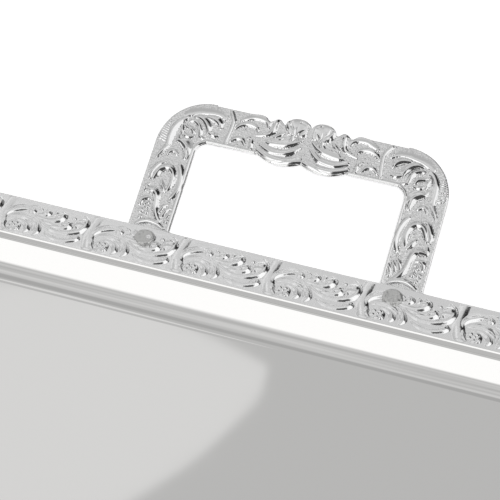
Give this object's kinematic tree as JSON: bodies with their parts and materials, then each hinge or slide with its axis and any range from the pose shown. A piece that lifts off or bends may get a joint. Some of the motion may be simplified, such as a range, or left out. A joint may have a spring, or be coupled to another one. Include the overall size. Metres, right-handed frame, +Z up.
{
  "type": "rectangular serving tray with handles",
  "caption": "Rectangular metal serving tray with a shallow well, an embossed scroll border and a fixed ornate grip handle riveted under each short side.",
  "frame": {"origin": "centre of the bounding box, on the flat underside of the floor that the tray rests on", "axes": "+Z up, X along the long side from the left handle to the right handle, Y along the short side"},
  "size_m": [0.603, 0.3636, 0.0398],
  "materials": {
    "tray_plate": "mirror-polished plate on pressed steel sheet",
    "handle_plate": "polished plate on a casting, duller in the stippled ground",
    "rivet_metal": "matt, lightly scratched"
  },
  "bodies": {
    "root": {"tray_body": "tray_plate", "handle_left": "handle_plate", "handle_right": "handle_plate", "rivet_left_front": "rivet_metal", "rivet_left_rear": "rivet_metal", "rivet_right_front": "rivet_metal", "rivet_right_rear": "rivet_metal"}
  },
  "joints": []
}
